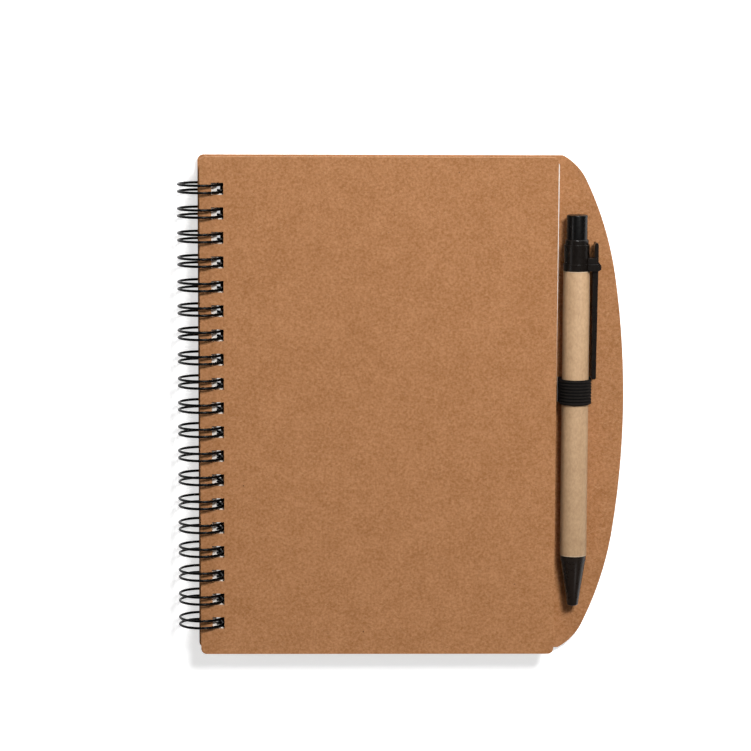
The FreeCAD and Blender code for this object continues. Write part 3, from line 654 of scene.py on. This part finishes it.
def wound_paper():
    """Smooth kraft paper with faint slanting seams, fine fibres and a painted highlight along the cut ends.
    """
    dark, light = (0.465, 0.290, 0.158, 1.0), (0.61, 0.400, 0.230, 1.0)
    fibre_tone, seam_tone = (0.40, 0.235, 0.12, 1.0), (0.35, 0.2, 0.1, 1.0)
    cut_end_highlight_tone = (0.78, 0.60, 0.42, 1.0)
    look = Shader("wound_paper")
    low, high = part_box("pen_barrel")
    axis = ((low.x + high.x) / 2, 0.0, (low.z + high.z) / 2)
    own = look.node("ShaderNodeVectorMath", {0: look.place, 1: axis}, operation="SUBTRACT").outputs[0]
    parts = look.node("ShaderNodeSeparateXYZ", {"Vector": own})
    round_angle = look.maths("ARCTAN2", parts.outputs["Z"], parts.outputs["X"])
    slant = look.maths("ADD", look.maths("MULTIPLY", parts.outputs["Y"], SEAMS_PER_METRE),
                       look.maths("MULTIPLY", round_angle, 1.0 / math.tau))
    seam = look.maths("ABSOLUTE", look.maths("SUBTRACT", look.maths("FRACT", slant), 0.5))
    cloud = look.grain((260, 160, 260), detail=6.0, roughness=0.6)
    pulp = look.grain((1300, 800, 1300), detail=3.0, roughness=0.6)
    fibre = look.grain((2600, 420, 2600), detail=3.0)
    tone = look.maths("ADD", look.maths("MULTIPLY", cloud, 0.5), look.maths("MULTIPLY", pulp, 0.6))
    colour = look.mix(look.ramp(tone, 0.38, 0.72), dark, light)
    colour = look.mix(look.maths("MULTIPLY", look.ramp(fibre, 0.55, 0.75), 0.3), colour, fibre_tone)
    colour = look.mix(look.maths("MULTIPLY", look.ramp(seam, 0.014, 0.005), 0.1), colour, seam_tone)
    # Painted highlight: the last fraction of a millimetre at each cut end is paler, where the rim catches the
    # light.
    from_middle = look.maths("ABSOLUTE", look.maths("SUBTRACT", parts.outputs["Y"], (low.y + high.y) / 2))
    half = (high.y - low.y) / 2
    cut_end_highlight_mask = look.ramp(from_middle, half - CUT_START, half - CUT_FULL)
    colour = look.mix(look.maths("MULTIPLY", cut_end_highlight_mask, 0.7), colour, cut_end_highlight_tone)
    height = look.maths("ADD", look.maths("MULTIPLY", fibre, 0.4), look.ramp(seam, 0.0, 0.02, 0.0, 0.3))
    look.finish(Base_Color=colour, Roughness=0.62, Specular_IOR_Level=0.35,
                Normal=look.bump(height, depth=0.00003, strength=0.5))
    return look.material


softened("pen_barrel", "paper_barrel", wound_paper(), "pen", BARREL_EDGE)

# Black mouldings of the pen
# The tip cone, the cap with its clip and the push button are injection-moulded in black plastic
# with a satin finish. Edges are slightly round, as a mould leaves them.
TURN_SIDES = 96
MOULD_STEPS = 3
CONE_EDGE = 0.00006
CAP_EDGE = 0.0002
BUTTON_EDGE = 0.00012
PLUG_INSET = 0.00062
CONE_COLLAR = 0.0019
CONE_RIDGE = 0.00016
CONE_TOP = 0.0089
CONE_END = 0.0039
CONE_MOUTH = 0.0026
CONE_NOSE = 0.0006
CONE_NOSE_STEPS = 5
CONE_CHAMBER = 0.0048
CHAMBER_DROP = 0.0075
BUTTON_SPACE = 0.00737
SLEEVE = 0.026
FLANGE = 0.0024
CAP_NECK = 0.0090
CAP_RING = 0.0082
RING_LENGTH = 0.0018
RING_EDGE = 0.0003
CLIP_INNER = 0.00545
CLIP_OUTER = 0.00735
CLIP_SLIM = 0.00035
CLIP_WIDTH = 0.005
CLIP_ROUND = 0.0006
CLIP_ROUND_STEPS = 5
POST_ROUND_STEPS = 10
POST_INNER = 0.00605
POST_OUTER = 0.0074
POST_LENGTH = 0.0098
KNOB = 0.002
KNOB_SLANT = 0.0012
SHELF_REACH = 0.00665
SHELF_HEIGHT = 0.0045
SHELF_WIDTH = 0.0062
SHELF_SINK = 0.0008
WEB_WIDTH = 0.0072


def moulded_black(name, tone):
    """Satin black plastic, a little mottled about one tone, which each piece is given with painted light in
    it.
    """
    look = Shader(name)
    cloud = look.grain(700, detail=4.0)
    fine = look.grain(5200, detail=2.0)
    darker, paler = ((*(part * share for part in tone), 1.0) for share in (0.7, 1.3))
    colour = look.mix(cloud, darker, paler)
    look.finish(Base_Color=colour, Roughness=look.ramp(cloud, 0.25, 0.75, 0.25, 0.33),
                Specular_IOR_Level=0.26, Normal=look.bump(fine, depth=0.00001, strength=0.3))
    return look.material


def turn_round(work, axis, outline):
    """Turn a closed half outline, pairs of radius and height, round the pen's axis."""
    turns = [math.tau * i / TURN_SIDES for i in range(TURN_SIDES)]
    rings = []
    for radius, y in outline:
        rings.append([work.verts.new((axis.x + radius * math.cos(turn), y, axis.z + radius * math.sin(turn)))
                      for turn in turns])
    for ring, after in zip(rings, rings[1:] + rings[:1]):
        for i in range(TURN_SIDES):
            k = (i + 1) % TURN_SIDES
            work.faces.new((ring[i], ring[k], after[k], after[i]))


def slab(work, axis, outline, width):
    """A plate of even width from its side view, pairs of distance from the pen's axis and height."""
    near, far = ([work.verts.new((axis.x + x, y, axis.z + z)) for x, y in outline]
                 for z in (-width / 2, width / 2))
    work.faces.new(near)
    work.faces.new(far)
    for i in range(len(outline)):
        k = (i + 1) % len(outline)
        work.faces.new((near[i], near[k], far[k], far[i]))


def moulding(work, name, material, edge):
    """Finish a moulding: faces outwards, smooth shading and slightly round edges."""
    bmesh.ops.recalc_face_normals(work, faces=work.faces)
    for face in work.faces:
        face.smooth = True
    made = finished(work, name, material)
    round_edges(made, edge, MOULD_STEPS)
    return made


def tip_cone(axis, tip, collar_end, plug_end, plug_radius):
    """Cone with a straight collar above a small ridge, a round nose and the chamber of the spring."""
    mouth, chamber, collar = CONE_MOUTH / 2, CONE_CHAMBER / 2, CONE_TOP / 2
    ridge, seat = collar_end - CONE_COLLAR, tip + CHAMBER_DROP
    outline = [(mouth, tip)]
    outline += arc(CONE_END / 2 - CONE_NOSE, tip + CONE_NOSE, CONE_NOSE, -90, -15, CONE_NOSE_STEPS)
    outline += [(collar - CONE_RIDGE, ridge - CONE_RIDGE), (collar - CONE_RIDGE, ridge), (collar, ridge),
                (collar, collar_end), (plug_radius, collar_end), (plug_radius, plug_end),
                (chamber, plug_end), (chamber, seat), (mouth, seat)]
    work = bmesh.new()
    turn_round(work, axis, outline)
    return moulding(work, "tip_cone", cone_black_painted_reflection, CONE_EDGE)


def clip_cap(axis, barrel_end, low, high, sleeve_radius):
    """Cap with sleeve, flange, neck and ring; clip arm with post and knob; web and shelf between them."""
    flange, bore, neck, ring = axis.z - low.z, BUTTON_SPACE / 2, CAP_NECK / 2, CAP_RING / 2
    shelf, step, knob = barrel_end + FLANGE, high.y - RING_LENGTH, high.x - axis.x
    work = bmesh.new()
    turn_round(work, axis, [
        (bore, barrel_end + FLANGE - SLEEVE), (sleeve_radius, barrel_end + FLANGE - SLEEVE),
        (sleeve_radius, barrel_end), (flange, barrel_end), (flange, shelf), (neck, shelf), (neck, step),
        (ring, step), (ring, high.y - RING_EDGE), (ring - RING_EDGE, high.y), (bore, high.y)])
    slim, post = CLIP_OUTER - CLIP_SLIM, (POST_OUTER - POST_INNER) / 2
    arm = arc(CLIP_INNER + CLIP_ROUND, low.y + CLIP_ROUND, CLIP_ROUND, 180, 270, CLIP_ROUND_STEPS)
    arm += arc(slim - CLIP_ROUND, low.y + CLIP_ROUND, CLIP_ROUND, 270, 360, CLIP_ROUND_STEPS)
    arm += [(CLIP_OUTER, barrel_end), (knob, barrel_end + KNOB / 4), (knob, barrel_end + KNOB),
            (POST_OUTER, barrel_end + KNOB + KNOB_SLANT)]
    arm += arc(POST_INNER + post, barrel_end + POST_LENGTH - post, post, 0, 180, POST_ROUND_STEPS)
    arm += [(POST_INNER, shelf), (CLIP_INNER, barrel_end)]
    slab(work, axis, arm, CLIP_WIDTH)
    root, shelf_top = neck - SHELF_SINK, barrel_end + SHELF_HEIGHT
    slab(work, axis, [(root, shelf), (SHELF_REACH, shelf), (SHELF_REACH, shelf_top), (root, shelf_top)],
         SHELF_WIDTH)
    slab(work, axis, [(bore, barrel_end), (CLIP_OUTER, barrel_end), (CLIP_OUTER, shelf), (bore, shelf)],
         WEB_WIDTH)
    return moulding(work, "clip_cap", cap_black_painted_light, CAP_EDGE)


# One black plastic in three tones of painted light: the cone lighter and brown as a painted reflection of the
# kraft board, the cap between, the button darker as painted shade.
cone_black_painted_reflection = moulded_black("cone_black_painted_reflection", (0.0150, 0.0100, 0.0076))
cap_black_painted_light = moulded_black("cap_black_painted_light", (0.0072, 0.0050, 0.0038))
button_black_painted_shade = moulded_black("button_black_painted_shade", (0.0022, 0.0020, 0.0019))
barrel_low, barrel_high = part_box("pen_barrel")
tip_low, tip_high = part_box("pen_tip")
cap_low, cap_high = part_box("pen_clip_cap")
pen_axis = Vector(((barrel_low.x + barrel_high.x) / 2, 0.0, (barrel_low.z + barrel_high.z) / 2))
plug = (barrel_high.z - barrel_low.z) / 2 - PLUG_INSET

cone = tip_cone(pen_axis, tip_low.y, barrel_low.y, tip_high.y, plug)
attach(cone, "pen")
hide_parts("pen_tip")
cap = clip_cap(pen_axis, barrel_high.y, cap_low, cap_high, plug)
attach(cap, "pen")
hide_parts("pen_clip_cap")
softened("push_button", "click_button", button_black_painted_shade, "clicker", BUTTON_EDGE)

# Works inside the pen
# Rotor, ink tube, metal point and steel spring. They only show when the point is out, or from the
# mouth of the cone. The spring is pressed together as the button goes down.
SPRING_WIRE = 0.0004
SPRING_RADIUS = 0.00195
SPRING_PITCH = 0.0024
SPRING_STEPS = 24
SPRING_SIDES = 8


def dress(node, material):
    """Give a CAD piece that is shown as it is its finish."""
    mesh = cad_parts[node].data
    mesh.materials.clear()
    mesh.materials.append(material)


def plain_finish(name, low_tone, high_tone, grain, **finish):
    """A finish with a little mottling between two tones."""
    look = Shader(name)
    cloud = look.grain(grain, detail=3.0)
    look.finish(Base_Color=look.mix(look.ramp(cloud, 0.3, 0.7), low_tone, high_tone), **finish)
    return look.material


dress("cam_rotor", plain_finish("rotor_white", (0.74, 0.74, 0.72, 1.0), (0.8, 0.8, 0.78, 1.0), 900,
                                Roughness=0.5))
dress("refill_tube", plain_finish("ink_tube", (0.012, 0.02, 0.09, 1.0), (0.02, 0.035, 0.13, 1.0), 500,
                                  Roughness=0.3))
dress("refill_point", plain_finish("point_brass", (0.62, 0.45, 0.18, 1.0), (0.72, 0.55, 0.25, 1.0), 2500,
                                   Roughness=0.28, Metallic=1.0))


def coil_path(low, high):
    """Points of the spring's wire, from its seat in the cone to the refill's collar."""
    rise = high.y - low.y - SPRING_WIRE
    steps = round(rise / SPRING_PITCH * SPRING_STEPS)
    middle = (low + high) / 2
    points = []
    for i in range(steps + 1):
        angle = math.tau * i / SPRING_STEPS
        points.append((middle.x + SPRING_RADIUS * math.cos(angle), low.y + SPRING_WIRE / 2 + rise * i / steps,
                       middle.z + SPRING_RADIUS * math.sin(angle)))
    return points


steel = plain_finish("spring_steel", (0.5, 0.5, 0.51, 1.0), (0.62, 0.62, 0.63, 1.0), 3000,
                     Roughness=0.25, Metallic=1.0)
spring_low, spring_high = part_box("pen_spring")
spring = grow(open_curve("coil_route", coil_path(spring_low, spring_high)), wire_tree(steel),
              "coil_spring", Radius=SPRING_WIRE / 2, Sides=SPRING_SIDES)
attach(spring, "pen")
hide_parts("pen_spring")
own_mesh(spring)

# Floor
# A plain pale sheet that the notebook lies on. It shows white to the camera, also in shiny
# surfaces, and keeps the notebook's soft shadow.
FLOOR_HALF = 3.0
FLOOR_DROP = 0.0002
FLOOR_TONE = (0.86, 0.86, 0.86, 1.0)
FLOOR_LIFT = 0.6


def floor_material():
    made = bpy.data.materials.new("pale_floor")
    made.use_nodes = True
    nodes, link = made.node_tree.nodes, made.node_tree.links.new
    nodes.clear()
    body = nodes.new("ShaderNodeBsdfDiffuse")
    body.inputs["Color"].default_value = FLOOR_TONE
    glow = nodes.new("ShaderNodeEmission")
    ray = nodes.new("ShaderNodeLightPath")
    seen = ray.outputs["Is Camera Ray"]
    for kind in ("Is Glossy Ray", "Is Transmission Ray"):
        either = nodes.new("ShaderNodeMath")
        either.operation = "MAXIMUM"
        link(seen, either.inputs[0])
        link(ray.outputs[kind], either.inputs[1])
        seen = either.outputs[0]
    amount = nodes.new("ShaderNodeMath")
    amount.operation = "MULTIPLY"
    amount.inputs[1].default_value = FLOOR_LIFT
    link(seen, amount.inputs[0])
    link(amount.outputs[0], glow.inputs["Strength"])
    both = nodes.new("ShaderNodeAddShader")
    link(body.outputs[0], both.inputs[0])
    link(glow.outputs[0], both.inputs[1])
    out = nodes.new("ShaderNodeOutputMaterial")
    link(both.outputs[0], out.inputs["Surface"])
    return made


floor_mesh = bpy.data.meshes.new("floor")
floor_corners = [(x * FLOOR_HALF, y * FLOOR_HALF, -FLOOR_DROP)
                 for x, y in ((-1, -1), (1, -1), (1, 1), (-1, 1))]
floor_mesh.from_pydata(floor_corners, [], [(0, 1, 2, 3)])
floor_mesh.materials.append(floor_material())
floor = in_scene("floor", floor_mesh)

# Light
# One soft lamp above the upper right corner, a weak one low beyond the upper edge that picks out
# the ledges of the pen, weak ones from the left and the lower right, and a dim even world.
WORLD_STRENGTH = 0.09


def lamp(name, place, size, power):
    """A round soft lamp that looks at the middle of the notebook."""
    data = bpy.data.lights.new(name, "AREA")
    data.shape = "DISK"
    data.size = size
    data.energy = power
    made = in_scene(name, data)
    made.location = place
    made.rotation_euler = (-Vector(place)).to_track_quat("-Z", "Y").to_euler()


lamp("key", place=(0.31, 0.56, 0.95), size=0.32, power=12.5)
lamp("edge", place=(0.09, 0.80, 0.20), size=0.2, power=1.9)
lamp("fill", place=(-0.95, 0.1, 0.62), size=0.4, power=0.9)
lamp("front", place=(0.55, -0.60, 0.95), size=0.22, power=0.5)

world = bpy.data.worlds.new("studio")
bpy.context.scene.world = world
world.use_nodes = True
background = world.node_tree.nodes["Background"]
background.inputs["Color"].default_value = (1.0, 1.0, 1.0, 1.0)
background.inputs["Strength"].default_value = WORLD_STRENGTH

# Camera
# About 1.1 m above the notebook, a little towards its upper edge, looking down at it through
# a long lens, as fitted to the nineteen loops and the corners in the photograph.
CAMERA_PLACE = (-0.03035, 0.16539, 1.09573)
CAMERA_TILT = (-8.091, -1.107, 0.053)
CAMERA_LENS = 151.18
CAMERA_SENSOR = 36.0
CAMERA_NEAR = 0.05
CAMERA_FAR = 20.0

camera_data = bpy.data.cameras.new("camera")
camera_data.sensor_width = CAMERA_SENSOR
camera_data.lens = CAMERA_LENS
camera_data.clip_start = CAMERA_NEAR
camera_data.clip_end = CAMERA_FAR
camera = in_scene("camera", camera_data)
camera.location = CAMERA_PLACE
camera.rotation_mode = "ZYX"
camera.rotation_euler = [math.radians(turn) for turn in CAMERA_TILT]
bpy.context.scene.camera = camera

bpy.context.scene.view_settings.view_transform = "Standard"
